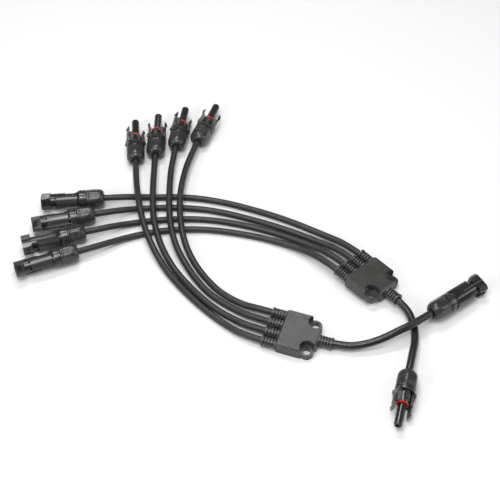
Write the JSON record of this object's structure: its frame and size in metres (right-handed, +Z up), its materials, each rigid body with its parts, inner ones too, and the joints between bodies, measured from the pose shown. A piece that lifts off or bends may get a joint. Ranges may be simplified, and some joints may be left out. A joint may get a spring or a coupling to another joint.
{
  "type": "solar branch connector lead pair",
  "caption": "Pair of branch leads for solar panels: cables run from a moulded junction box to locking round connectors with screw cap nuts.",
  "frame": {"origin": "centre of the connectors' and boxes' footprint, on the surface they lie on", "axes": "+Z up; X along the longest extent, the long connectors' end at -X; +Y away from the viewer, towards the row of slim connectors"},
  "size_m": [0.4477, 0.3894, 0.0213],
  "materials": {
    "shell": "satin",
    "cap": "satin",
    "collet": "matt",
    "latch": "satin",
    "box": "matt, fine grain",
    "branch_cable": "matt sheath",
    "trunk_cable": "satin sheath",
    "contact": "tinned",
    "seal": "matt",
    "ring": "satin"
  },
  "bodies": {
    "low_harness": {"low1_shell": "shell", "low1_cable": "branch_cable", "low2_shell": "shell", "low2_cable": "branch_cable", "low3_shell": "shell", "low3_cable": "branch_cable", "low4_shell": "shell", "low4_cable": "branch_cable", "low5_shell": "shell", "low5_cable": "trunk_cable", "low_splice": "contact", "low_box": "box", "low_contacts": "contact", "low_seals": "seal", "low_rings": "ring"},
    "up_harness": {"up1_shell": "shell", "up1_cable": "branch_cable", "up2_shell": "shell", "up2_cable": "branch_cable", "up3_shell": "shell", "up3_cable": "branch_cable", "up4_shell": "shell", "up4_cable": "branch_cable", "up5_shell": "shell", "up5_cable": "trunk_cable", "up_splice": "contact", "up_box": "box", "up_contacts": "contact", "up_seals": "seal", "up_rings": "ring"},
    "low1_collet_body": {"low1_collet": "collet"},
    "low1_cap_body": {"low1_cap": "cap"},
    "low2_collet_body": {"low2_collet": "collet"},
    "low2_cap_body": {"low2_cap": "cap"},
    "low3_collet_body": {"low3_collet": "collet"},
    "low3_cap_body": {"low3_cap": "cap"},
    "low4_collet_body": {"low4_collet": "collet"},
    "low4_cap_body": {"low4_cap": "cap"},
    "low5_collet_body": {"low5_collet": "collet"},
    "low5_cap_body": {"low5_cap": "cap"},
    "low5_latch_a_body": {"low5_latch_a": "latch"},
    "low5_latch_b_body": {"low5_latch_b": "latch"},
    "up1_collet_body": {"up1_collet": "collet"},
    "up1_cap_body": {"up1_cap": "cap"},
    "up1_latch_a_body": {"up1_latch_a": "latch"},
    "up1_latch_b_body": {"up1_latch_b": "latch"},
    "up2_collet_body": {"up2_collet": "collet"},
    "up2_cap_body": {"up2_cap": "cap"},
    "up2_latch_a_body": {"up2_latch_a": "latch"},
    "up2_latch_b_body": {"up2_latch_b": "latch"},
    "up3_collet_body": {"up3_collet": "collet"},
    "up3_cap_body": {"up3_cap": "cap"},
    "up3_latch_a_body": {"up3_latch_a": "latch"},
    "up3_latch_b_body": {"up3_latch_b": "latch"},
    "up4_collet_body": {"up4_collet": "collet"},
    "up4_cap_body": {"up4_cap": "cap"},
    "up4_latch_a_body": {"up4_latch_a": "latch"},
    "up4_latch_b_body": {"up4_latch_b": "latch"},
    "up5_collet_body": {"up5_collet": "collet"},
    "up5_cap_body": {"up5_cap": "cap"}
  },
  "joints": [
    {"name": "upper_lift", "type": "slide", "parent": "low_harness", "child": "up_harness", "axis": [0, 0, 1], "range_m": [0, 0.12]},
    {"name": "low1_collet_slide", "type": "slide", "parent": "low_harness", "child": "low1_collet_body", "axis": [0.9963, 0.0854, 0], "range_m": [0, 0.008]},
    {"name": "low1_cap_turn", "type": "hinge", "parent": "low1_collet_body", "child": "low1_cap_body", "pos_m": [-0.15167, 0.06223, 0.0101], "axis": [0.9963, 0.0854, 0], "range_deg": [0, 1440]},
    {"name": "low2_collet_slide", "type": "slide", "parent": "low_harness", "child": "low2_collet_body", "axis": [0.9755, 0.2198, 0], "range_m": [0, 0.008]},
    {"name": "low2_cap_turn", "type": "hinge", "parent": "low2_collet_body", "child": "low2_cap_body", "pos_m": [-0.15918, 0.04012, 0.0101], "axis": [0.9755, 0.2198, 0], "range_deg": [0, 1440]},
    {"name": "low3_collet_slide", "type": "slide", "parent": "low_harness", "child": "low3_collet_body", "axis": [0.9593, 0.2823, 0], "range_m": [0, 0.008]},
    {"name": "low3_cap_turn", "type": "hinge", "parent": "low3_collet_body", "child": "low3_cap_body", "pos_m": [-0.16643, 0.01686, 0.0101], "axis": [0.9593, 0.2823, 0], "range_deg": [0, 1440]},
    {"name": "low4_collet_slide", "type": "slide", "parent": "low_harness", "child": "low4_collet_body", "axis": [0.9348, 0.3551, 0], "range_m": [0, 0.008]},
    {"name": "low4_cap_turn", "type": "hinge", "parent": "low4_collet_body", "child": "low4_cap_body", "pos_m": [-0.17131, -0.0082, 0.0101], "axis": [0.9348, 0.3551, 0], "range_deg": [0, 1440]},
    {"name": "low5_collet_slide", "type": "slide", "parent": "low_harness", "child": "low5_collet_body", "axis": [0.2453, 0.9694, 0], "range_m": [0, 0.008]},
    {"name": "low5_cap_turn", "type": "hinge", "parent": "low5_collet_body", "child": "low5_cap_body", "pos_m": [0.14029, -0.15002, 0.0095], "axis": [0.2453, 0.9694, 0], "range_deg": [0, 1440]},
    {"name": "low5_latch_a_flex", "type": "hinge", "parent": "low_harness", "child": "low5_latch_a_body", "pos_m": [0.14383, -0.16608, 0.00558], "axis": [-0.4551, 0.1152, -0.8829], "range_deg": [0, 4], "stiffness_Nm_per_rad": 0.05},
    {"name": "low5_latch_b_flex", "type": "hinge", "parent": "low_harness", "child": "low5_latch_b_body", "pos_m": [0.12954, -0.16247, 0.01342], "axis": [0.4551, -0.1152, 0.8829], "range_deg": [0, 4], "stiffness_Nm_per_rad": 0.05},
    {"name": "up1_collet_slide", "type": "slide", "parent": "up_harness", "child": "up1_collet_body", "axis": [0.061, -0.9981, 0], "range_m": [0, 0.008]},
    {"name": "up1_cap_turn", "type": "hinge", "parent": "up1_collet_body", "child": "up1_cap_body", "pos_m": [-0.11515, 0.12218, 0.0095], "axis": [0.061, -0.9981, 0], "range_deg": [0, 1440]},
    {"name": "up1_latch_a_flex", "type": "hinge", "parent": "up_harness", "child": "up1_latch_a_body", "pos_m": [-0.12341, 0.13641, 0.01342], "axis": [-0.4686, -0.0287, -0.8829], "range_deg": [0, 4], "stiffness_Nm_per_rad": 0.05},
    {"name": "up1_latch_b_flex", "type": "hinge", "parent": "up_harness", "child": "up1_latch_b_body", "pos_m": [-0.10869, 0.13731, 0.00558], "axis": [0.4686, 0.0287, 0.8829], "range_deg": [0, 4], "stiffness_Nm_per_rad": 0.05},
    {"name": "up2_collet_slide", "type": "slide", "parent": "up_harness", "child": "up2_collet_body", "axis": [-0.0122, -0.9999, 0], "range_m": [0, 0.008]},
    {"name": "up2_cap_turn", "type": "hinge", "parent": "up2_collet_body", "child": "up2_cap_body", "pos_m": [-0.09499, 0.1304, 0.0095], "axis": [-0.0122, -0.9999, 0], "range_deg": [0, 1440]},
    {"name": "up2_latch_a_flex", "type": "hinge", "parent": "up_harness", "child": "up2_latch_a_body", "pos_m": [-0.10313, 0.1452, 0.00877], "axis": [0.0871, -0.0011, -0.9962], "range_deg": [0, 4], "stiffness_Nm_per_rad": 0.05},
    {"name": "up2_latch_b_flex", "type": "hinge", "parent": "up_harness", "child": "up2_latch_b_body", "pos_m": [-0.08649, 0.145, 0.01023], "axis": [-0.0871, 0.0011, 0.9962], "range_deg": [0, 4], "stiffness_Nm_per_rad": 0.05},
    {"name": "up3_collet_slide", "type": "slide", "parent": "up_harness", "child": "up3_collet_body", "axis": [-0.1513, -0.9885, 0], "range_m": [0, 0.008]},
    {"name": "up3_cap_turn", "type": "hinge", "parent": "up3_collet_body", "child": "up3_cap_body", "pos_m": [-0.07324, 0.1408, 0.01], "axis": [-0.1513, -0.9885, 0], "range_deg": [0, 1440]},
    {"name": "up3_latch_a_flex", "type": "hinge", "parent": "up_harness", "child": "up3_latch_a_body", "pos_m": [-0.07769, 0.15635, 0.01491], "axis": [-0.581, 0.0889, -0.809], "range_deg": [0, 4], "stiffness_Nm_per_rad": 0.05},
    {"name": "up3_latch_b_flex", "type": "hinge", "parent": "up_harness", "child": "up3_latch_b_body", "pos_m": [-0.06434, 0.1543, 0.00509], "axis": [0.581, -0.0889, 0.809], "range_deg": [0, 4], "stiffness_Nm_per_rad": 0.05},
    {"name": "up4_collet_slide", "type": "slide", "parent": "up_harness", "child": "up4_collet_body", "axis": [-0.3404, -0.9403, 0], "range_m": [0, 0.008]},
    {"name": "up4_cap_turn", "type": "hinge", "parent": "up4_collet_body", "child": "up4_cap_body", "pos_m": [-0.04974, 0.14776, 0.0095], "axis": [-0.3404, -0.9403, 0], "range_deg": [0, 1440]},
    {"name": "up4_latch_a_flex", "type": "hinge", "parent": "up_harness", "child": "up4_latch_a_body", "pos_m": [-0.05241, 0.16437, 0.01124], "axis": [-0.1955, 0.0708, -0.9781], "range_deg": [0, 4], "stiffness_Nm_per_rad": 0.05},
    {"name": "up4_latch_b_flex", "type": "hinge", "parent": "up_harness", "child": "up4_latch_b_body", "pos_m": [-0.03705, 0.15881, 0.00776], "axis": [0.1955, -0.0708, 0.9781], "range_deg": [0, 4], "stiffness_Nm_per_rad": 0.05},
    {"name": "up5_collet_slide", "type": "slide", "parent": "up_harness", "child": "up5_collet_body", "axis": [-0.8014, -0.5952, 0.0593], "range_m": [0, 0.008]},
    {"name": "up5_cap_turn", "type": "hinge", "parent": "up5_collet_body", "child": "up5_cap_body", "pos_m": [0.17551, -0.07334, 0.01167], "axis": [-0.8014, -0.5952, 0.0593], "range_deg": [0, 1440]}
  ],
  "couplings": [
    {"joint": "low1_cap_turn", "follows": "low1_collet_slide", "rad_per_m": 3141.6},
    {"joint": "low2_cap_turn", "follows": "low2_collet_slide", "rad_per_m": 3141.6},
    {"joint": "low3_cap_turn", "follows": "low3_collet_slide", "rad_per_m": 3141.6},
    {"joint": "low4_cap_turn", "follows": "low4_collet_slide", "rad_per_m": 3141.6},
    {"joint": "low5_cap_turn", "follows": "low5_collet_slide", "rad_per_m": 3141.6},
    {"joint": "up1_cap_turn", "follows": "up1_collet_slide", "rad_per_m": 3141.6},
    {"joint": "up2_cap_turn", "follows": "up2_collet_slide", "rad_per_m": 3141.6},
    {"joint": "up3_cap_turn", "follows": "up3_collet_slide", "rad_per_m": 3141.6},
    {"joint": "up4_cap_turn", "follows": "up4_collet_slide", "rad_per_m": 3141.6},
    {"joint": "up5_cap_turn", "follows": "up5_collet_slide", "rad_per_m": 3141.6}
  ]
}
